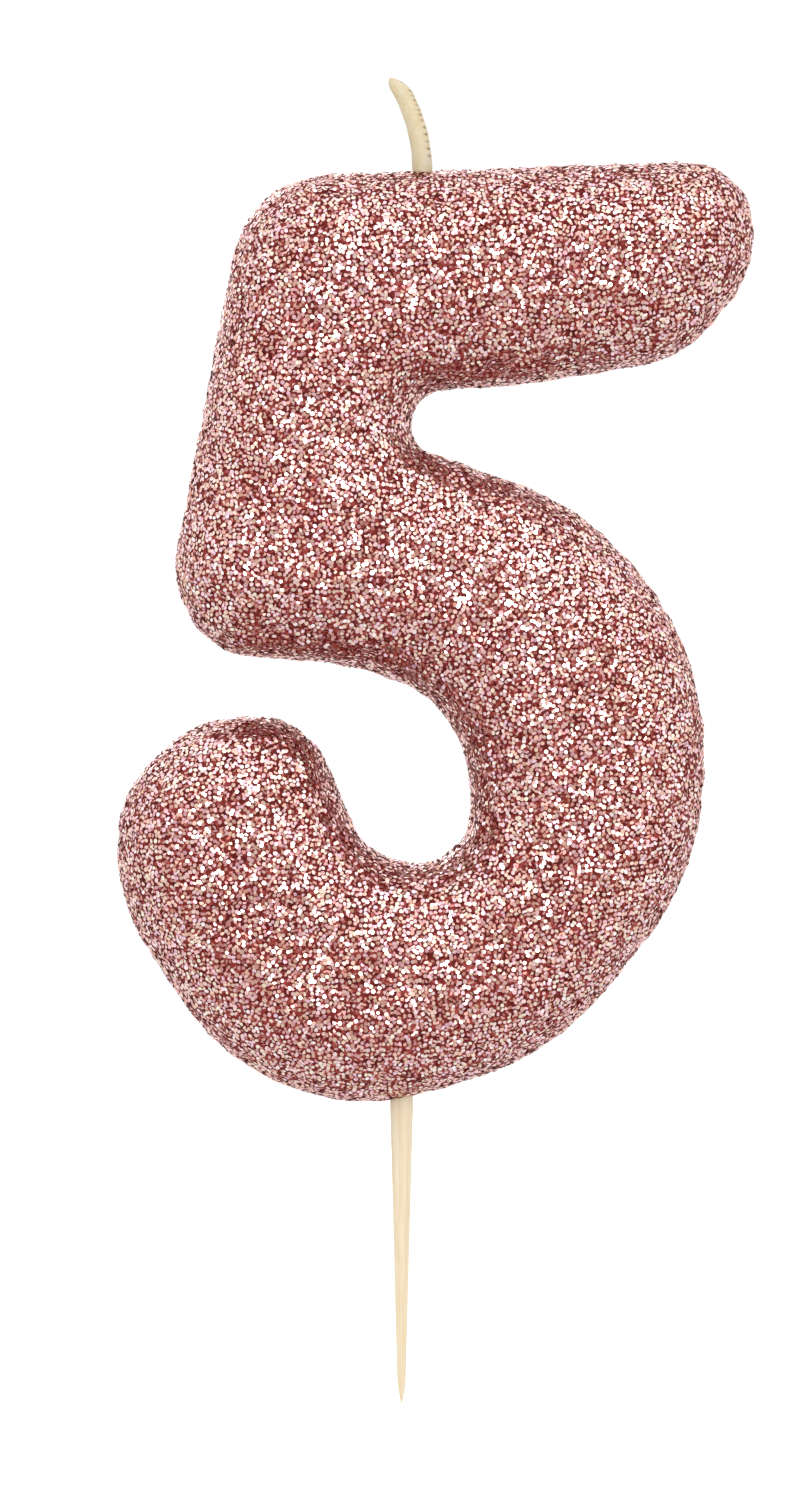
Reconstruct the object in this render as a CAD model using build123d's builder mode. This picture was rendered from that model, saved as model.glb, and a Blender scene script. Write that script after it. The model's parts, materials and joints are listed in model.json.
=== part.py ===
from build123d import *
import os

# A number birthday candle: the figure 5 moulded in wax, lacquered and rolled in glitter, with a waxed
# cotton wick in its top bar and a wooden pick in its underside. It reads from the front, along +Y.
# Origin: on the pick's axis, half way through the figure, level with the lowest point of its underside.
# All sizes are in millimetres.

# ---- The figure, measured over its glitter ----
FIGURE_DEPTH = 12.6  # front land to back land
RIM_ROUND = 4.8  # rounding all round the front and back of the figure
GLITTER_LAYER = 0.35  # flakes lying two or three deep
LACQUER_LAYER = 0.15  # the tinted lacquer that the flakes are stuck in

# ---- The wick ----
WICK_X = 1.55  # where it leaves the top bar
WICK_FOOT_Z = 57.5  # its lower end, set in the wax of the bar
WICK_STRAIGHT = 12.0  # from its foot to the start of its bend, just above the bar
WICK_BEND = 14.0  # radius that it leans over on
WICK_LEAN = 27.0  # degrees that it turns through, towards -X
WICK_TIP_RUN = 0.6  # the last straight bit
BRAID_RADIUS = 0.55
WICK_WAX_LAYER = 0.18  # wax that the braid is primed with

# ---- The pick, a cocktail stick ----
PICK_RADIUS = 0.86
PICK_TOP_Z = 13.0  # its blunt end, inside the figure
PICK_TAPER_Z = -0.6  # where its long taper starts, just under the figure
PICK_NECK_Z = -20.3  # where the taper turns into the point
PICK_NECK_RADIUS = 0.34
PICK_POINT_Z = -22.7
PICK_TIP_RADIUS = 0.04  # a worn point, not a needle
PICK_TOP_CHAMFER = 0.15
SOCKET_CLEARANCE = 0.04  # round the pick, so that it can be drawn out
SOCKET_AIR = 0.3  # left above the pick's blunt end

# ---- Outline of the figure, clockwise: x, z and the radius that rounds the corner ----
TOP_BAR = [
    (-11.4, 69.0, 7.5),
    (26.3, 70.3, 5.0),
    (26.3, 61.7, 8.0),
    (20.9, 55.5, 7.5),
    (9.5, 53.6, 60.0),
]
NOTCH = [
    (0.6, 53.0, 2.7),
    (0.75, 48.9, 1.9),
]
BOWL = [
    (14.0, 44.2, 21.0),
    (22.7, 33.1, 21.0),
    (22.5, 17.2, 21.0),
    (11.2, 3.3, 21.0),
    (-4.1, -1.1, 15.5),
    (-13.8, 3.6, 17.0),
]
TAIL = [
    (-21.2, 14.7, 14.0),
    (-21.2, 23.2, 8.5),
    (-14.9, 28.7, 9.0),
    (-7.1, 28.7, 5.7),
]
COUNTER = [
    (-2.4, 17.5, 5.3),
    (5.15, 18.0, 3.9),
    (5.2, 26.0, 9.5),
    (1.9, 30.6, 7.2),
    (-4.0, 32.7, 16.0),
]
STEM = [
    (-13.9, 33.4, 5.5),
    (-17.3, 38.5, 6.5),
]
OUTLINE = TOP_BAR + NOTCH + BOWL + TAIL + COUNTER + STEM

WAX_INSET = GLITTER_LAYER + LACQUER_LAYER
WICK_RADIUS = BRAID_RADIUS + WICK_WAX_LAYER
SOCKET_RADIUS = PICK_RADIUS + SOCKET_CLEARANCE
SOCKET_END_Z = PICK_TOP_Z + SOCKET_AIR
BELOW_FIGURE_Z = -1.0  # low enough for a cut to clear the underside
BEND_START_Z = WICK_FOOT_Z + WICK_STRAIGHT


def sunk_corner(index, inset):
    """One corner of the outline and its radius, with the two sides that meet there moved inwards by inset."""
    x, z, radius = OUTLINE[index]
    corner = Vector(x, z)
    arriving = (corner - Vector(*OUTLINE[index - 1][:2])).normalized()
    leaving = (Vector(*OUTLINE[(index + 1) % len(OUTLINE)][:2]) - corner).normalized()
    inward_1 = Vector(arriving.Y, -arriving.X)
    inward_2 = Vector(leaving.Y, -leaving.X)
    moved = corner + (inward_1 + inward_2) * (inset / (1 + inward_1.dot(inward_2)))
    hollow = arriving.cross(leaving).Z > 0
    return moved, radius + inset if hollow else radius - inset


def figure(inset):
    """The rounded figure 5, with its whole surface sunk by inset below the outermost glitter."""
    corners = [sunk_corner(index, inset) for index in range(len(OUTLINE))]
    with BuildPart() as block:
        with BuildSketch(Plane.XZ):
            with BuildLine():
                FilletPolyline(
                    [corner for corner, radius in corners],
                    radius=[radius for corner, radius in corners],
                    close=True,
                )
            make_face()
        extrude(amount=FIGURE_DEPTH / 2 - inset, both=True)
        lands = block.faces().filter_by(Axis.Y)
        fillet(lands.edges(), radius=RIM_ROUND - inset)
    return block.part


def bored_figure(inset, wick_foot, socket_end):
    """A figure with the round hole for the wick down to wick_foot and the pick's socket up to socket_end."""
    with BuildPart() as block:
        add(figure(inset))
        with BuildSketch(Plane.XY.offset(wick_foot)):
            with Locations((WICK_X, 0)):
                Circle(WICK_RADIUS)
        extrude(amount=BEND_START_Z - wick_foot, mode=Mode.SUBTRACT)
        with BuildSketch(Plane.XY.offset(BELOW_FIGURE_Z)):
            Circle(SOCKET_RADIUS)
        extrude(amount=socket_end - BELOW_FIGURE_Z, mode=Mode.SUBTRACT)
    return block.part


# The wax body: paraffin cast in a two-part mould, with a blind socket for the pick and the wick's hole.
with BuildPart() as wax_body:
    add(bored_figure(WAX_INSET, WICK_FOOT_Z, SOCKET_END_Z))

# The adhesive coat: a dip of tinted lacquer, an even skin over the wax with both holes through it.
with BuildPart() as adhesive_coat:
    add(bored_figure(GLITTER_LAYER, WICK_FOOT_Z, SOCKET_END_Z))
    add(figure(WAX_INSET), mode=Mode.SUBTRACT)

# The glitter coat: metallised flakes pressed into the lacquer, the skin that is seen and handled.
with BuildPart() as glitter_coat:
    add(bored_figure(0, WICK_FOOT_Z, SOCKET_END_Z))
    add(figure(GLITTER_LAYER), mode=Mode.SUBTRACT)

# The wick braid: plaited cotton, straight in the wax and leaning over to its tip above it.
with BuildPart() as wick_braid:
    with BuildLine(Plane.XZ) as braid_path:
        in_wax = Line((WICK_X, WICK_FOOT_Z), (WICK_X, BEND_START_Z))
        lean = JernArc(in_wax @ 1, in_wax % 1, WICK_BEND, WICK_LEAN)
        Line(lean @ 1, lean @ 1 + (lean % 1) * WICK_TIP_RUN)
    with BuildSketch(Plane.XY.offset(WICK_FOOT_Z)):
        with Locations((WICK_X, 0)):
            Circle(BRAID_RADIUS)
    sweep()

# The wick wax: the thin coat that the braid was primed in, a sleeve from its foot to its tip.
with BuildPart() as wick_wax:
    with BuildLine(Plane.XZ):
        add(braid_path.line)
    with BuildSketch(Plane.XY.offset(WICK_FOOT_Z)):
        with Locations((WICK_X, 0)):
            Circle(WICK_RADIUS)
            Circle(BRAID_RADIUS, mode=Mode.SUBTRACT)
    sweep()

# The pick: a turned birch stick, parallel in its socket, then a long taper and a short rounded point.
with BuildPart() as pick:
    with BuildSketch(Plane.XZ):
        with BuildLine():
            blunt_end = Polyline(
                (0, PICK_TOP_Z),
                (PICK_RADIUS - PICK_TOP_CHAMFER, PICK_TOP_Z),
                (PICK_RADIUS, PICK_TOP_Z - PICK_TOP_CHAMFER),
                (PICK_RADIUS, PICK_TAPER_Z),
            )
            taper = Line(blunt_end @ 1, (PICK_NECK_RADIUS, PICK_NECK_Z))
            point = TangentArc(taper @ 1, (PICK_TIP_RADIUS, PICK_POINT_Z), tangent=taper % 1)
            Polyline(point @ 1, (0, PICK_POINT_Z), (0, PICK_TOP_Z))
        make_face()
    revolve(axis=Axis.Z)

os.makedirs("parts", exist_ok=True)
pieces = {
    "wax_body": wax_body,
    "adhesive_coat": adhesive_coat,
    "glitter_coat": glitter_coat,
    "wick_braid": wick_braid,
    "wick_wax": wick_wax,
    "pick": pick,
}
for label, piece in pieces.items():
    piece.part.label = label
    export_step(piece.part, f"parts/{label}.step")
    print(label, "volume", round(piece.part.volume, 1), "mm3")

# The wick's two solids against their sections times the path's length.
wick_length = braid_path.wires()[0].length
braid_area = Circle(BRAID_RADIUS).area
print("wick length", round(wick_length, 2), "mm, braid volume by length", round(braid_area * wick_length, 2))
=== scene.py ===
import json
import math

import bpy
import numpy as np
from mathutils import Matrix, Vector, kdtree

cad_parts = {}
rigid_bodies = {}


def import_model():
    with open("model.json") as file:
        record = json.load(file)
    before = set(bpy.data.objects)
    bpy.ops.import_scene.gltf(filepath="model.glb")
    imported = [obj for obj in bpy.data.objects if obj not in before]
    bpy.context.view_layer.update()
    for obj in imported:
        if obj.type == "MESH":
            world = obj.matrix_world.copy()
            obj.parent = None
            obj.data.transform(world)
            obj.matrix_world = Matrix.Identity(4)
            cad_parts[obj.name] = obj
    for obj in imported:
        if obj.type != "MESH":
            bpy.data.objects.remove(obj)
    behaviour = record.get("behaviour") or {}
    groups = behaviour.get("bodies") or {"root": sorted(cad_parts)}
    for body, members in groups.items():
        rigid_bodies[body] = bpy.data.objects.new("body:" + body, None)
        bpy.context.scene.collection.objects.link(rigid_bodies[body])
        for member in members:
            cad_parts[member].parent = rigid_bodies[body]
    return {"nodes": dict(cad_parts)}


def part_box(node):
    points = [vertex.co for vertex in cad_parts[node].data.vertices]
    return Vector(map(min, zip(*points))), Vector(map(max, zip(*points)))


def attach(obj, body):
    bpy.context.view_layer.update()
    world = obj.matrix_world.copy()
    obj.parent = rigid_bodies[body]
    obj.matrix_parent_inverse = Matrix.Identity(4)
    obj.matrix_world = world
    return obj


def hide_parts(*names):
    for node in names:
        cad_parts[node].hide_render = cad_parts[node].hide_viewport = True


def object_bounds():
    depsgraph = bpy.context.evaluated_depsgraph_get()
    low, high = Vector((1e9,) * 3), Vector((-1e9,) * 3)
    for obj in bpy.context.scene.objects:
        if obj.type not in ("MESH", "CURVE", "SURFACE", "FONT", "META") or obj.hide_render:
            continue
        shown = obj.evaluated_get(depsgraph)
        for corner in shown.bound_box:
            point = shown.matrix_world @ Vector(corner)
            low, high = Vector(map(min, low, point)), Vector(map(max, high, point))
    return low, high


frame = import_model()
cad_low, cad_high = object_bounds()

# ---- Studio: camera, lights and floor ----
# A long lens looks straight at the front of the candle, which stands on its pick on a pale floor. One
# wide soft light hangs above the camera and one behind the candle, in a white room that is dim and
# rosy on the camera's side.
VIEW_HEIGHT = 0.1122
VIEW_CENTRE_Z = 0.0262
LENS = 180.0
SENSOR = 36.0
KEY_PLACE = (0.15, -1.47, 0.36)
KEY_SIZE = (0.85, 0.72)
KEY_RADIANCE = 4.2
REAR_PLACE = (-0.35, 1.4, 0.55)
REAR_SIZE = (0.8, 0.7)
REAR_RADIANCE = 2.4
LAMP_TINT = (0.94, 0.97, 1.0)
ROOM_BEFORE = (0.41, 0.28, 0.25, 1)
ROOM_AROUND = (1.24, 1.22, 1.21, 1)
ROOM_BEFORE_END, ROOM_AROUND_START = -0.97, -0.62  # as the depth of a direction
ROOM_RISE = 0.15  # how much brighter it is straight up than level
GLOW_START, GLOW_FULL = 0.42, 0.97  # as the cosine of the angle from the key light
GLOW = 0.78
BACKDROP = 1.05  # how bright the camera sees the room
PAPER_WHITE = (0.9, 0.9, 0.9, 1)
FLOOR_Z = cad_low.z - 0.0001
FLOOR_SIZE = 1.0

scene = bpy.context.scene
scene.view_settings.view_transform = "Standard"


class Net:
    """A socket in a node tree. Sums on it add Math nodes, and node() adds any other node."""

    def __init__(self, tree, out=None):
        self.tree = tree
        self.out = out

    def node(self, kind, settings=None, out=0, **sockets):
        """Adds a node of a kind with its settings, then its sockets' values or links, by name or number."""
        made = self.tree.nodes.new(kind)
        for key, value in (settings or {}).items():
            if key == "stops":
                ramp = made.color_ramp
                while len(ramp.elements) < len(value):
                    ramp.elements.new(0.5)
                for element, (place, colour) in zip(ramp.elements, value):
                    element.position = place
                    element.color = (*colour, 1)
            else:
                setattr(made, key, value)
        for key, value in sockets.items():
            socket = made.inputs[int(key[1:]) if key[1:].isdigit() else key.replace("_", " ")]
            if isinstance(value, Net):
                self.tree.links.new(value.out, socket)
            elif value is not None:
                socket.default_value = value
        return Net(self.tree, made.outputs[out] if len(made.outputs) else None)

    def math(self, operation, *terms):
        """Adds a Math node on numbers and sockets."""
        sockets = {f"_{place}": term for place, term in enumerate(terms)}
        return self.node("ShaderNodeMath", {"operation": operation}, **sockets)

    def __add__(self, other):
        return self.math("ADD", self, other)

    __radd__ = __add__

    def __sub__(self, other):
        return self.math("SUBTRACT", self, other)

    def __rsub__(self, other):
        return self.math("SUBTRACT", other, self)

    def __mul__(self, other):
        return self.math("MULTIPLY", self, other)

    __rmul__ = __mul__


def painted(name):
    """A new material with nothing in it, and its net."""
    material = bpy.data.materials.new(name)
    material.use_nodes = True
    material.node_tree.nodes.clear()
    return material, Net(material.node_tree)


def point_at(thing, target):
    """Turns a light or camera from its place towards a target."""
    towards = Vector(target) - thing.location
    thing.rotation_euler = towards.to_track_quat("-Z", "Y").to_euler()


def soft_light(name, place, size, radiance):
    """A flat soft light of that size, as bright all over as the radiance says, turned to the candle."""
    lamp = bpy.data.lights.new(name, "AREA")
    lamp.shape = "RECTANGLE"
    lamp.size, lamp.size_y = size
    lamp.color = LAMP_TINT
    lamp.energy = radiance * math.pi * size[0] * size[1]
    light = bpy.data.objects.new(name, lamp)
    light.location = place
    scene.collection.objects.link(light)
    point_at(light, (0, 0, VIEW_CENTRE_Z))


camera = bpy.data.objects.new("camera", bpy.data.cameras.new("camera"))
camera.data.lens = LENS
camera.data.sensor_width = SENSOR
camera.location = (0, -VIEW_HEIGHT * LENS / SENSOR, VIEW_CENTRE_Z)
scene.collection.objects.link(camera)
scene.camera = camera
point_at(camera, (0, 0, VIEW_CENTRE_Z))

soft_light("high_softbox", KEY_PLACE, KEY_SIZE, KEY_RADIANCE)
soft_light("rear_softbox", REAR_PLACE, REAR_SIZE, REAR_RADIANCE)

world = bpy.data.worlds.new("studio")
world.use_nodes = True
world.node_tree.nodes.clear()
sky = Net(world.node_tree)
backdrop = sky.node("ShaderNodeBackground", Color=(1, 1, 1, 1), Strength=BACKDROP)
direction = sky.node("ShaderNodeTexCoord", out="Generated")
way = sky.node("ShaderNodeSeparateXYZ", _0=direction)
depth, height = (Net(world.node_tree, way.out.node.outputs[axis]) for axis in "YZ")
towards_key = tuple((Vector(KEY_PLACE) - Vector((0, 0, VIEW_CENTRE_Z))).normalized())
near_key = sky.node(
    "ShaderNodeVectorMath", {"operation": "DOT_PRODUCT"}, out="Value", _0=direction, _1=towards_key
)
glow = sky.node("ShaderNodeMapRange", _0=near_key, From_Min=GLOW_START, From_Max=GLOW_FULL, To_Max=GLOW)
around = sky.node("ShaderNodeMapRange", _0=depth, From_Min=ROOM_BEFORE_END, From_Max=ROOM_AROUND_START)
room_tone = sky.node(
    "ShaderNodeMix", {"data_type": "RGBA"}, out=2, _0=around, _6=ROOM_BEFORE, _7=ROOM_AROUND
)
room = sky.node("ShaderNodeBackground", Color=room_tone, Strength=1 + ROOM_RISE * height + glow)
seen = sky.node("ShaderNodeLightPath", out="Is Camera Ray")
sky.node("ShaderNodeOutputWorld", Surface=sky.node("ShaderNodeMixShader", _0=seen, _1=room, _2=backdrop))
scene.world = world

bpy.ops.object.select_all(action="DESELECT")
bpy.ops.mesh.primitive_plane_add(size=FLOOR_SIZE, location=(0, 0, FLOOR_Z))
floor = bpy.context.object
floor.name = "floor"
paper, mix = painted("pale_paper")
paper_finish = mix.node(
    "ShaderNodeBsdfPrincipled",
    Base_Color=PAPER_WHITE,
    Roughness=0.9,
    Emission_Color=(1, 1, 1, 1),
    Emission_Strength=0.25,
)
mix.node("ShaderNodeOutputMaterial", Surface=paper_finish)
floor.data.materials.append(paper)
floor.visible_glossy = False

# ---- Wax core ----
# The figure 5, paraffin cast in a two-part mould. It is crowned from its rim to the middle of its
# strokes, and bored from above for the wick and from below for the pick. Every coat is laid on the
# same blank, so the wax is sunk below its surface.
CUT_Y = 0.0012  # a level of the coat that is inside its straight sides
HALF_DEPTH = cad_high.y
CROWN_WIDTH = 0.0068
CROWN_POWER = 2.2  # 2 would be an ellipse
RIM_STEP = 0.00008
RIM_REACH = 3  # steps to each side that the rim's direction is measured over
RIM_NEAR = 0.0003  # closer than this, a point slides square to the rim
BLANK_VOXEL = 0.00045
LUMP_SIZE = 0.0014
LUMP_HEIGHT = 0.00036
WAX_SUNK = 0.00027
WAX_TONES = [(0.3, (0.78, 0.56, 0.52)), (0.7, (0.86, 0.66, 0.61))]
WICK_LOW, WICK_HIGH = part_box("wick_wax")
WICK_X = 0.00155
WICK_HOLE = 0.0008
PICK_HOLE = 0.0009
SOCKET_TOP = 0.0133
BELOW_FIGURE = -0.002


def only(thing):
    """Makes one object the selected and active one."""
    bpy.ops.object.select_all(action="DESELECT")
    thing.select_set(True)
    bpy.context.view_layer.objects.active = thing


def finish_with(thing, kind, **settings):
    """Adds a modifier to an object and applies it."""
    only(thing)
    tool = thing.modifiers.new(kind.lower(), kind)
    for key, value in settings.items():
        setattr(tool, key, value)
    bpy.ops.object.modifier_apply(modifier=tool.name)


def copy_of(thing, name):
    """A copy with its own mesh."""
    twin = bpy.data.objects.new(name, thing.data.copy())
    scene.collection.objects.link(twin)
    return twin


def points_of(thing):
    """A mesh's points as rows of x, y and z."""
    places = np.zeros(len(thing.data.vertices) * 3)
    thing.data.vertices.foreach_get("co", places)
    return places.reshape(-1, 3)


def figure_blank():
    """The crowned figure without its holes, from the outline of the CAD coat."""
    blank = copy_of(frame["nodes"]["glitter_coat"], "figure_blank")
    blank.data.materials.clear()
    only(blank)
    bpy.ops.object.mode_set(mode="EDIT")
    bpy.ops.mesh.select_all(action="SELECT")
    bpy.ops.mesh.remove_doubles(threshold=1e-6)
    bpy.ops.mesh.bisect(plane_co=(0, CUT_Y, 0), plane_no=(0, 1, 0), clear_inner=True, clear_outer=True)
    bpy.ops.mesh.select_all(action="DESELECT")
    bpy.ops.object.mode_set(mode="OBJECT")
    outermost = max(blank.data.vertices, key=lambda vertex: vertex.co.x)
    outermost.select = True
    bpy.ops.object.mode_set(mode="EDIT")
    bpy.ops.mesh.select_linked()
    bpy.ops.mesh.select_all(action="INVERT")
    bpy.ops.mesh.delete(type="VERT")
    bpy.ops.mesh.select_all(action="SELECT")
    bpy.ops.mesh.edge_face_add()
    bpy.ops.transform.translate(value=(0, -HALF_DEPTH - CUT_Y, 0))
    bpy.ops.object.mode_set(mode="OBJECT")
    rim = np.array([blank.data.vertices[i].co for i in blank.data.polygons[0].vertices])[:, [0, 2]]
    bpy.ops.object.mode_set(mode="EDIT")
    bpy.ops.mesh.select_all(action="SELECT")
    bpy.ops.mesh.extrude_region_move(TRANSFORM_OT_translate={"value": (0, 2 * HALF_DEPTH, 0)})
    bpy.ops.mesh.select_all(action="SELECT")
    bpy.ops.mesh.normals_make_consistent(inside=False)
    bpy.ops.object.mode_set(mode="OBJECT")
    finish_with(blank, "REMESH", mode="VOXEL", voxel_size=BLANK_VOXEL)
    crown(blank, rim)
    finish_with(blank, "SMOOTH", factor=0.5, iterations=8)
    lumps = bpy.data.textures.new("lumps", "CLOUDS")
    lumps.noise_scale = LUMP_SIZE
    lumps.noise_depth = 1
    finish_with(blank, "DISPLACE", texture=lumps, strength=LUMP_HEIGHT, texture_coords="LOCAL")
    return blank


def crown(blank, rim):
    """Rounds a flat-sided figure: each point slides in from its rim and down, on to a crowned curve."""
    ring = np.vstack([rim, rim[:1]])
    run = np.concatenate([[0], np.cumsum(np.linalg.norm(np.diff(ring, axis=0), axis=1))])
    steps = np.linspace(0, run[-1], int(run[-1] / RIM_STEP), endpoint=False)
    rim = np.stack([np.interp(steps, run, ring[:, axis]) for axis in (0, 1)], axis=1)
    along = np.roll(rim, -RIM_REACH, axis=0) - np.roll(rim, RIM_REACH, axis=0)
    area = np.sum(rim[:, 0] * np.roll(rim[:, 1], -1) - np.roll(rim[:, 0], -1) * rim[:, 1])
    inward = np.stack([-along[:, 1], along[:, 0]], axis=1) * np.sign(area)
    inward /= np.linalg.norm(inward, axis=1)[:, None]
    tree = kdtree.KDTree(len(rim))
    for index, (x, z) in enumerate(rim):
        tree.insert((x, 0, z), index)
    tree.balance()
    places = points_of(blank)
    near = [tree.find((x, 0, z)) for x, _, z in places]
    nearest = [index for _, index, _ in near]
    foot, square_in = rim[nearest], inward[nearest]
    gap = np.array([distance for _, _, distance in near])
    away = places[:, [0, 2]] - foot
    way = np.where(gap[:, None] > RIM_NEAR, away / np.maximum(gap, 1e-9)[:, None], square_in)
    gap = np.where(np.sum(away * square_in, axis=1) > 0, gap, 0)
    across = 1 - np.minimum(gap / CROWN_WIDTH, 1)
    up = places[:, 1] / HALF_DEPTH
    pull = (across**CROWN_POWER + np.abs(up) ** CROWN_POWER) ** (-1 / CROWN_POWER)
    sunk = np.where(gap < CROWN_WIDTH, CROWN_WIDTH * (1 - across * pull), gap)
    moved = foot + way * sunk[:, None]
    places[:, 0], places[:, 2] = moved[:, 0], moved[:, 1]
    places[:, 1] = up * pull * HALF_DEPTH
    blank.data.vertices.foreach_set("co", places.ravel())
    blank.data.update()


def bored(thing):
    """Cuts the wick's hole and the pick's socket out of a figure."""
    for name, x, radius, low, high in (
        ("wick_drill", WICK_X, WICK_HOLE, WICK_LOW.z, WICK_HIGH.z),
        ("pick_drill", 0, PICK_HOLE, BELOW_FIGURE, SOCKET_TOP),
    ):
        bpy.ops.object.select_all(action="DESELECT")
        bpy.ops.mesh.primitive_cylinder_add(
            vertices=48, radius=radius, depth=high - low, location=(x, 0, (low + high) / 2)
        )
        drill = bpy.context.object
        drill.name = name
        finish_with(thing, "BOOLEAN", operation="DIFFERENCE", object=drill, solver="EXACT")
        bpy.data.objects.remove(drill)


blank = figure_blank()
wax_core = copy_of(blank, "wax_core")
finish_with(wax_core, "DISPLACE", strength=-WAX_SUNK, mid_level=0)
bored(wax_core)
wax, mix = painted("paraffin_wax")
where = mix.node("ShaderNodeTexCoord", out="Object")
cloud = mix.node("ShaderNodeTexNoise", Vector=where, Scale=400.0, Detail=3.0)
wax_tone = mix.node("ShaderNodeValToRGB", {"stops": WAX_TONES}, Fac=cloud)
mix.node(
    "ShaderNodeOutputMaterial",
    Surface=mix.node("ShaderNodeBsdfPrincipled", Base_Color=wax_tone, Roughness=0.45),
)
wax_core.data.materials.append(wax)
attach(wax_core, "candle")
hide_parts("wax_body")

# ---- Lacquer skin ----
# A dip of tinted lacquer, an even skin over the wax that the flakes are stuck in. Between them it shows
# as a deep red, paler where small flakes are drowned in it.
LACQUER_SUNK = 0.00002
LACQUER_THICKNESS = 0.00015
DROWNED_SCALE = 4200.0
LACQUER_TONES = [(0.0, (0.05, 0.003, 0.002)), (0.6, (0.13, 0.012, 0.010)), (1.0, (0.24, 0.045, 0.037))]

lacquer_skin = copy_of(blank, "lacquer_skin")
finish_with(lacquer_skin, "DISPLACE", strength=-LACQUER_SUNK, mid_level=0)
finish_with(lacquer_skin, "SOLIDIFY", thickness=LACQUER_THICKNESS, offset=-1)
bored(lacquer_skin)
lacquer, mix = painted("rose_lacquer")
where = mix.node("ShaderNodeTexCoord", out="Object")
drowned = mix.node("ShaderNodeTexVoronoi", out="Color", Vector=where, Scale=DROWNED_SCALE)
drowned_red = mix.node("ShaderNodeSeparateColor", _0=drowned)
lacquer_tone = mix.node("ShaderNodeValToRGB", {"stops": LACQUER_TONES}, Fac=drowned_red)
lacquer_finish = mix.node(
    "ShaderNodeBsdfPrincipled", Base_Color=lacquer_tone, Specular_IOR_Level=0.08, Roughness=0.4
)
mix.node("ShaderNodeOutputMaterial", Surface=lacquer_finish)
lacquer_skin.data.materials.append(lacquer)
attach(lacquer_skin, "candle")
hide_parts("adhesive_coat")

# ---- Glitter ----
# Cut-hexagon flakes of metallised film, a third of a millimetre across their corners, in lots of
# several tints mixed together. Each lies in the lacquer at its own angle, lapping over its neighbours,
# and the ones that lie deeper are looser and painted darker and redder: partly the lacquer's stain,
# partly painted shade from the flakes that lap over them.
FLAKE_RADIUS = 0.000172
FLAKE_DEPTH = 0.000018
FLAKE_SPACING = 0.00025
FLAKE_DENSITY = 64e6  # to the square metre, before they are thinned to the spacing
FLAKE_STRAY = 0.00005  # how far one lies from its place, to each side
FLAKE_TILT = math.radians(11.5)
FLAKE_LIFT = 0.00002  # how far the highest stand out and the deepest are sunk
LOOSE_DEEP, LOOSE_LESS = 1.35, 0.55  # tilt of the deepest flakes, and how much less the highest have
SMALLEST, LARGEST = (0.8, 0.8, 0.9), (1.15, 1.15, 1.1)  # against the size above
SHADE_BY_DEPTH = 0.75  # the share of a flake's shade that its depth decides, where chance decides the rest
WICK_TOP_Z, WICK_CLEAR = 0.065, 0.00004  # no flakes over the wick's hole, above this height
PICK_LOW_Z, PICK_CLEAR = 0.004, 0.00008  # none over the pick's socket, below this one
# The deepest flakes are painted dark red and the middle ones part way: the lacquer's stain and painted
# shade of the flakes over them.
FOIL_DEEP_STAIN_AND_SHADE = (0.34, 0.08, 0.065)
UNDERSIDE = (0.62, 0.27, 0.24, 1)
FOIL_STAIN_AND_SHADE = (0.91, 0.77, 0.75)
FOIL_EDGE = (1.0, 0.72, 0.7, 1)
COAT_TINT = (1.0, 0.95, 0.95, 1)
LOTS = [
    ("rose", (0.79, 0.60, 0.57)),
    ("blush", (0.83, 0.68, 0.67)),
    ("peach", (0.81, 0.68, 0.57)),
    ("champagne", (0.81, 0.77, 0.64)),
    ("mauve", (0.76, 0.56, 0.66)),
    ("copper", (0.76, 0.55, 0.45)),
    ("pearl", (0.88, 0.84, 0.85)),
    ("pink", (0.84, 0.61, 0.66)),
]

bpy.ops.object.select_all(action="DESELECT")
bpy.ops.mesh.primitive_cone_add(
    vertices=6, radius1=FLAKE_RADIUS, radius2=0, depth=FLAKE_DEPTH, rotation=(math.pi, 0, 0)
)
flake = bpy.context.object
flake.name = "flake"
bpy.ops.object.transform_apply(location=True, rotation=True, scale=True)
bpy.ops.object.mode_set(mode="EDIT")
bpy.ops.mesh.select_all(action="SELECT")
bpy.ops.transform.translate(value=(0, 0, -FLAKE_DEPTH / 2))
bpy.ops.mesh.quads_convert_to_tris()
bpy.ops.object.mode_set(mode="OBJECT")
top = flake.data.attributes.new("top", "FLOAT", "FACE")
top.data.foreach_set("value", [float(face.normal.z > 0.9) for face in flake.data.polygons])


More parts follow.
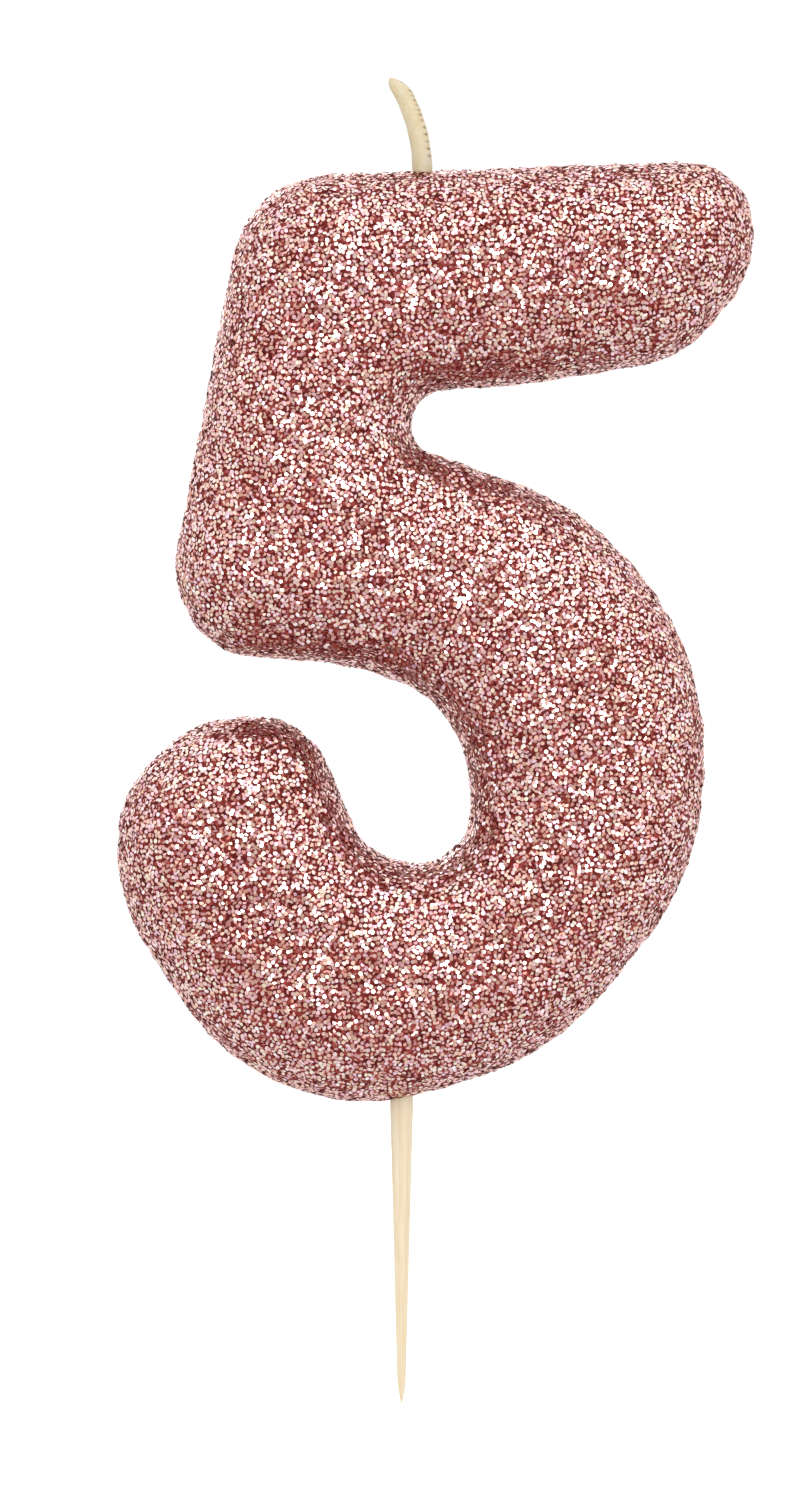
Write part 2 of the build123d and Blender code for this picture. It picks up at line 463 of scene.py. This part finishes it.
def scatter(name, number, material):
    """The node group that lays one lot of the flakes over the figure."""
    tree = bpy.data.node_groups.new(name, "GeometryNodeTree")
    tree.interface.new_socket(name="Geometry", in_out="INPUT", socket_type="NodeSocketGeometry")
    tree.interface.new_socket(name="Geometry", in_out="OUTPUT", socket_type="NodeSocketGeometry")
    net = Net(tree)

    def random(seed, low, high, kind="FLOAT"):
        """A random value for each flake, the same for every lot."""
        sockets = {"FLOAT": (2, 3, 1), "FLOAT_VECTOR": (0, 1, 0), "INT": (4, 5, 2)}[kind]
        made = net.node("FunctionNodeRandomValue", {"data_type": kind}, out=sockets[2], Seed=seed)
        made.out.node.inputs[sockets[0]].default_value = low
        made.out.node.inputs[sockets[1]].default_value = high
        return made

    surface = net.node("NodeGroupInput")
    place = net.node("ShaderNodeSeparateXYZ", _0=net.node("GeometryNodeInputPosition"))
    x, y, z = (Net(tree, place.out.node.outputs[axis]) for axis in "XYZ")
    from_wick = net.math("SQRT", (x - WICK_X) * (x - WICK_X) + y * y)
    from_pick = net.math("SQRT", x * x + y * y)
    clear_of_wick = net.math("GREATER_THAN", from_wick, WICK_HOLE + WICK_CLEAR)
    clear_of_pick = net.math("GREATER_THAN", from_pick, PICK_HOLE + PICK_CLEAR)
    high_up = net.math("GREATER_THAN", z, WICK_TOP_Z)
    low_down = net.math("LESS_THAN", z, PICK_LOW_Z)
    free = (1 - high_up * (1 - clear_of_wick)) * (1 - low_down * (1 - clear_of_pick))
    spots = net.node(
        "GeometryNodeDistributePointsOnFaces",
        {"distribute_method": "POISSON"},
        Mesh=surface,
        Selection=free,
        Distance_Min=FLAKE_SPACING,
        Density_Max=FLAKE_DENSITY,
        Seed=5,
    )
    normal = Net(tree, spots.out.node.outputs["Normal"])
    facing = Net(tree, spots.out.node.outputs["Rotation"])
    lift = net.node("ShaderNodeVectorMath", {"operation": "SCALE"}, _0=normal)
    depth = random(3, 0.0, 1.0)
    tree.links.new((depth * (2 * FLAKE_LIFT) - FLAKE_LIFT).out, lift.out.node.inputs["Scale"])
    astray = net.node(
        "ShaderNodeVectorMath",
        {"operation": "CROSS_PRODUCT"},
        _0=normal,
        _1=random(51, (-FLAKE_STRAY,) * 3, (FLAKE_STRAY,) * 3, "FLOAT_VECTOR"),
    )
    moved = net.node("ShaderNodeVectorMath", {"operation": "ADD"}, _0=lift, _1=astray)
    raised = net.node("GeometryNodeSetPosition", Geometry=spots, Offset=moved)
    lot = random(11, 0, len(LOTS) - 1, "INT")
    mine = net.node(
        "GeometryNodeSeparateGeometry", Geometry=raised, Selection=net.math("COMPARE", lot, number, 0.1)
    )
    tip = net.node(
        "ShaderNodeVectorMath",
        {"operation": "ADD"},
        _0=random(
            21, (-FLAKE_TILT, -FLAKE_TILT, -math.pi), (FLAKE_TILT, FLAKE_TILT, math.pi), "FLOAT_VECTOR"
        ),
        _1=random(22, (-FLAKE_TILT, -FLAKE_TILT, 0), (FLAKE_TILT, FLAKE_TILT, 0), "FLOAT_VECTOR"),
    )
    looser = net.node("ShaderNodeVectorMath", {"operation": "SCALE"}, _0=tip)
    tree.links.new((LOOSE_DEEP - LOOSE_LESS * depth).out, looser.out.node.inputs["Scale"])
    turned = net.node(
        "FunctionNodeRotateRotation",
        {"rotation_space": "LOCAL"},
        _0=facing,
        _1=net.node("FunctionNodeEulerToRotation", _0=looser),
    )
    size = random(31, SMALLEST, LARGEST, "FLOAT_VECTOR")
    pattern = net.node("GeometryNodeObjectInfo", out="Geometry", Object=flake)
    laid = net.node(
        "GeometryNodeInstanceOnPoints", Points=mine, Instance=pattern, Rotation=turned, Scale=size
    )
    # A flake's shade follows its depth, so deeper flakes come out darker: painted shade as well as stain.
    shade = net.node(
        "GeometryNodeStoreNamedAttribute",
        {"data_type": "FLOAT", "domain": "INSTANCE"},
        Geometry=laid,
        Name="shade",
        Value=depth * SHADE_BY_DEPTH + random(41, 0.0, 1 - SHADE_BY_DEPTH),
    )
    real = net.node("GeometryNodeRealizeInstances", Geometry=shade)
    coloured = net.node("GeometryNodeSetMaterial", Geometry=real, Material=material)
    net.node("NodeGroupOutput", _0=coloured)
    return tree


for number, (tint, colour) in enumerate(LOTS):
    foil, mix = painted(f"{tint}_foil")
    shade = mix.node("ShaderNodeAttribute", {"attribute_name": "shade"}, out="Fac")
    # Deeper flakes run through the stained tone to the deep one: painted shade as well as the lacquer's
    # stain.
    stained_and_shaded = tuple(part * stain for part, stain in zip(colour, FOIL_STAIN_AND_SHADE))
    foil_tone = mix.node(
        "ShaderNodeValToRGB",
        {"stops": [(0.0, FOIL_DEEP_STAIN_AND_SHADE), (0.45, stained_and_shaded), (0.8, colour), (1.0, colour)]},
        Fac=shade,
    )
    foil_top = mix.node("ShaderNodeAttribute", {"attribute_name": "top"}, out="Fac")
    flake_tone = mix.node(
        "ShaderNodeMix", {"data_type": "RGBA"}, out=2, _0=foil_top, _6=UNDERSIDE, _7=foil_tone
    )
    mix.node(
        "ShaderNodeOutputMaterial",
        Surface=mix.node(
            "ShaderNodeBsdfPrincipled",
            Base_Color=flake_tone,
            Metallic=foil_top,
            Roughness=0.26 - 0.11 * shade,
            Specular_Tint=FOIL_EDGE,
            Coat_Weight=0.5 * foil_top,
            Coat_Roughness=0.2,
            Coat_Tint=COAT_TINT,
        ),
    )
    glitter = copy_of(blank, f"glitter_{tint}")
    only(glitter)
    layer = glitter.modifiers.new("scatter", "NODES")
    layer.node_group = scatter(f"lay_{tint}", number, foil)
    bpy.ops.object.modifier_apply(modifier=layer.name)
    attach(glitter, "candle")
    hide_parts("glitter_coat")

bpy.data.objects.remove(blank)
bpy.data.objects.remove(flake)

# ---- Wick ----
# Plaited cotton, primed in wax so that the plait only shows as low ridges and rows of small pits. Along the
# right side and, near the end, the left side, the pits are painted dark brown as painted shade.
# It stands in the top bar, leans over to the left and ends in a slanted cut that the wax has rounded.
WICK_FOOT = WICK_LOW.z
WICK_STRAIGHT = 0.012
WICK_BEND = 0.0125
WICK_LEAN = math.radians(30.5)
WICK_END = 0.001
WICK_LENGTH = WICK_STRAIGHT + WICK_BEND * WICK_LEAN + WICK_END
WICK_RADIUS = 0.00076
WICK_THINNING = 0.00008
WICK_FLATNESS = 0.92
WICK_SIDES = 40
WICK_RINGS = 260
TIP_ROUND = 0.00085
TIP_SLANT = 1.05
TIP_CUT = 0.0038
TIP_EASE = 0.8
TIP_PEAK = 0.4  # how far left of the middle the slant starts, in radiuses
TIP_PINCH = 0.02  # what is left of the girth at the very end
PLAIT_PITCH = 0.0021
PLAIT_RELIEF = 0.00001
PIT_PITCH = 0.00052
PIT_TURN = 0.62  # radians from the right-hand side to the front
PIT_LENGTH, PIT_GAP = 1.8, 0.4
PIT_EVEN, PIT_UNEVEN = 0.8, 0.00023
PIT_DEPTH = 0.00003
# Dark brown painted into the pits along the wick's sides: painted shade, not a colour of the cotton.
PIT_PAINTED_SHADE = (0.11, 0.05, 0.012, 1)
RIGHT_WIDTH, RIGHT_START = 0.26, WICK_STRAIGHT + 0.001
LEFT_WIDTH, LEFT_START = 0.3, WICK_LENGTH - 0.0025
CREAM_TONES = [(0.3, (0.46, 0.385, 0.225)), (0.5, (0.485, 0.435, 0.285)), (0.7, (0.495, 0.47, 0.36))]
BRAID_RADIUS = 0.0003
BRAID_SWING = 0.00024
BRAID_DEPTH = 0.6  # how far it swings to the front and back, against to the sides
BRAID_LENGTH = WICK_LENGTH - 2 * TIP_ROUND
BRAID_SIDES = 10
BRAID_RINGS = 120
YARN_TONES = [(0.3, (0.66, 0.56, 0.40)), (0.7, (0.84, 0.77, 0.62))]
SMOOTH_ANGLE = math.radians(50)


def rod(name, radius, low, high, sides, rings):
    """A round rod up the Z axis, closed at both ends, with evenly spaced rings of points."""
    bpy.ops.object.select_all(action="DESELECT")
    bpy.ops.mesh.primitive_circle_add(vertices=sides, radius=radius, fill_type="NGON")
    made = bpy.context.object
    made.name = name
    bpy.ops.object.mode_set(mode="EDIT")
    bpy.ops.mesh.select_all(action="SELECT")
    bpy.ops.transform.translate(value=(0, 0, low))
    for _ in range(rings):
        bpy.ops.mesh.extrude_region_move(TRANSFORM_OT_translate={"value": (0, 0, (high - low) / rings)})
    bpy.ops.mesh.select_all(action="SELECT")
    bpy.ops.mesh.normals_make_consistent(inside=False)
    bpy.ops.object.mode_set(mode="OBJECT")
    return made


def put_points(thing, places):
    """Writes a mesh's points back and smooths its shading."""
    thing.data.vertices.foreach_set("co", places.ravel())
    thing.data.update()
    only(thing)
    bpy.ops.object.shade_smooth_by_angle(angle=SMOOTH_ANGLE)


def along_wick(run, aside, front):
    """Places points by their way along the wick, to its right and behind its middle line."""
    turned = np.clip((run - WICK_STRAIGHT) / WICK_BEND, 0, WICK_LEAN)
    past = np.maximum(run - WICK_STRAIGHT - WICK_BEND * WICK_LEAN, 0)
    x = WICK_X - WICK_BEND * (1 - np.cos(turned)) - past * np.sin(turned)
    z = WICK_FOOT + np.minimum(run, WICK_STRAIGHT) + WICK_BEND * np.sin(turned) + past * np.cos(turned)
    return np.stack([x + aside * np.cos(turned), front, z + aside * np.sin(turned)], axis=1)


def plait_relief(angle, run):
    """How far the strands of the plait push the wax out, from -1 in a hollow to 1 on a ridge."""
    turn = 2 * np.pi * run / PLAIT_PITCH
    return np.maximum(np.cos(2 * angle + turn), np.cos(2 * angle - turn))


sleeve = rod("wick_sleeve", WICK_RADIUS, 0, WICK_LENGTH, WICK_SIDES, WICK_RINGS)
places = points_of(sleeve)
angle = np.arctan2(places[:, 1], places[:, 0])
run = places[:, 2]
tip = WICK_LENGTH - TIP_ROUND
end = np.clip((run - tip) / TIP_ROUND, 0, 1) * np.pi / 2
closing = np.maximum(np.cos(end), TIP_PINCH)
past_cut = np.clip((run - WICK_LENGTH + TIP_CUT) / TIP_CUT / TIP_EASE, 0, 1)
ridge = plait_relief(angle, run)
thinned = np.clip((run - WICK_STRAIGHT) / (WICK_LENGTH - WICK_STRAIGHT), 0, 1)
girth = (WICK_RADIUS - WICK_THINNING * thinned + PLAIT_RELIEF * ridge) * closing
stitch = np.clip(PIT_LENGTH * np.cos(2 * np.pi * run / PIT_PITCH + angle) - PIT_GAP, 0, 1)
stitch *= PIT_EVEN + (1 - PIT_EVEN) * np.sin(run / PIT_UNEVEN)
right = np.exp(-(((angle + PIT_TURN) / RIGHT_WIDTH) ** 2)) * (run > RIGHT_START)
left = np.exp(-(((np.pi - np.abs(angle)) / LEFT_WIDTH) ** 2)) * (run > LEFT_START)
girth -= PIT_DEPTH * stitch * (right + left) * closing
aside = girth * np.cos(angle)
run = np.where(run > tip, tip + TIP_ROUND * np.sin(end), run)
run -= TIP_SLANT * np.maximum(aside + WICK_RADIUS * TIP_PEAK, 0) * past_cut
put_points(sleeve, along_wick(run, aside, girth * np.sin(angle) * WICK_FLATNESS))
# Where the pits along the sides are painted dark brown as painted shade.
pit = sleeve.data.attributes.new("pit", "FLOAT", "POINT")
pit.data.foreach_set("value", (stitch * np.maximum(right, left)).astype(np.float32))
primed, mix = painted("primed_cotton")
where = mix.node("ShaderNodeTexCoord", out="Object")
cloud = mix.node("ShaderNodeTexNoise", Vector=where, Scale=900.0, Detail=4.0, Roughness=0.6)
cream = mix.node("ShaderNodeValToRGB", {"stops": CREAM_TONES}, Fac=cloud)
# The cream turns dark brown in the side pits: painted shade.
sunk = mix.node("ShaderNodeAttribute", {"attribute_name": "pit"}, out="Fac")
cream_with_pit_shade = mix.node("ShaderNodeMix", {"data_type": "RGBA"}, out=2, _0=sunk, _6=cream, _7=PIT_PAINTED_SHADE)
fine = mix.node("ShaderNodeBump", Strength=0.25, Distance=0.00003, Height=cloud)
mix.node(
    "ShaderNodeOutputMaterial",
    Surface=mix.node(
        "ShaderNodeBsdfPrincipled",
        Base_Color=cream_with_pit_shade,
        Roughness=0.42 + 0.2 * cloud,
        Subsurface_Weight=0.15,
        Subsurface_Scale=0.0006,
        Normal=fine,
    ),
)
sleeve.data.materials.append(primed)
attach(sleeve, "candle")
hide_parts("wick_wax")

strands = []
for strand in range(3):
    lay = rod(f"wick_strand_{strand + 1}", BRAID_RADIUS, 0, BRAID_LENGTH, BRAID_SIDES, BRAID_RINGS)
    places = points_of(lay)
    run = places[:, 2]
    turn = 2 * np.pi * (run / PLAIT_PITCH / 2 + strand / 3)
    places[:, 0] += BRAID_SWING * np.sin(turn)
    places[:, 1] += BRAID_SWING * BRAID_DEPTH * np.sin(2 * turn)
    put_points(lay, along_wick(run, places[:, 0], places[:, 1]))
    strands.append(lay)
only(strands[0])
for lay in strands:
    lay.select_set(True)
bpy.ops.object.join()
plait = bpy.context.object
plait.name = "wick_plait"
yarn, mix = painted("cotton_yarn")
where = mix.node("ShaderNodeTexCoord", out="Object")
fibre = mix.node("ShaderNodeTexNoise", Vector=where, Scale=6000.0, Detail=2.0)
yarn_tone = mix.node("ShaderNodeValToRGB", {"stops": YARN_TONES}, Fac=fibre)
mix.node(
    "ShaderNodeOutputMaterial",
    Surface=mix.node("ShaderNodeBsdfPrincipled", Base_Color=yarn_tone, Roughness=0.85),
)
plait.data.materials.append(yarn)
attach(plait, "candle")
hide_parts("wick_braid")

# ---- Pick ----
# A cocktail stick of pale birch, split and turned: parallel in its socket, then a long taper and a
# short point. The knife leaves faint flats, and the grain runs along it.
PICK_LOW, PICK_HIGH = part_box("pick")
PICK_RADIUS = 0.00086
PICK_TAPER_Z = -0.0006
PICK_NECK_Z = -0.0203
PICK_NECK_RADIUS = 0.00034
PICK_TIP_RADIUS = 0.00004
PICK_CHAMFER_LENGTH = 0.00015
PICK_CHAMFER = 0.00012
KNIFE_FLATS = [(0.000006, 5, 60), (0.000004, 9, -140)]  # height, number round the stick, twist
WEAVE_HEIGHT, WEAVE_TURN, WEAVE_BEND = 0.000005, 2600, 3
PICK_SIDES = 36
PICK_RINGS = 260
BIRCH_TONES = [(0.3, (0.47, 0.375, 0.235)), (0.5, (0.535, 0.465, 0.325)), (0.7, (0.55, 0.515, 0.385))]

stick = rod("pick_stick", 1.0, PICK_LOW.z, PICK_HIGH.z, PICK_SIDES, PICK_RINGS)
places = points_of(stick)
angle = np.arctan2(places[:, 1], places[:, 0])
z = places[:, 2]
taper = np.interp(z, [PICK_NECK_Z, PICK_TAPER_Z], [PICK_NECK_RADIUS, PICK_RADIUS])
point = np.clip((z - PICK_LOW.z) / (PICK_NECK_Z - PICK_LOW.z), 0, 1)
blunt = PICK_TIP_RADIUS / PICK_NECK_RADIUS
taper *= blunt + (1 - blunt) * np.sin(point * np.pi / 2)
head = np.clip((PICK_HIGH.z - z) / PICK_CHAMFER_LENGTH, 0, 1)
taper -= PICK_CHAMFER * (1 - head)
flats = sum(height * np.cos(count * angle + turn * z) for height, count, turn in KNIFE_FLATS)
weave = WEAVE_HEIGHT * np.sin(WEAVE_TURN * z + WEAVE_BEND * np.cos(angle))
girth = taper + (flats + weave) * np.minimum(taper / PICK_RADIUS, 1)
put_points(stick, np.stack([girth * np.cos(angle), girth * np.sin(angle), z], axis=1))
birch, mix = painted("birch_wood")
where = mix.node("ShaderNodeTexCoord", out="Object")
stretched = mix.node("ShaderNodeMapping", Vector=where, Scale=(1, 1, 0.035))
grain = mix.node("ShaderNodeTexNoise", Vector=stretched, Scale=5200.0, Detail=4.0, Roughness=0.65)
bands = mix.node("ShaderNodeTexNoise", Vector=stretched, Scale=1500.0, Detail=2.0)
wood_tone = mix.node("ShaderNodeValToRGB", {"stops": BIRCH_TONES}, Fac=grain * 0.5 + bands * 0.5)
fibres = mix.node("ShaderNodeBump", Strength=0.35, Distance=0.00003, Height=grain)
mix.node(
    "ShaderNodeOutputMaterial",
    Surface=mix.node(
        "ShaderNodeBsdfPrincipled", Base_Color=wood_tone, Roughness=0.5 + 0.2 * grain, Normal=fibres
    ),
)
stick.data.materials.append(birch)
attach(stick, "pick")
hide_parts("pick")
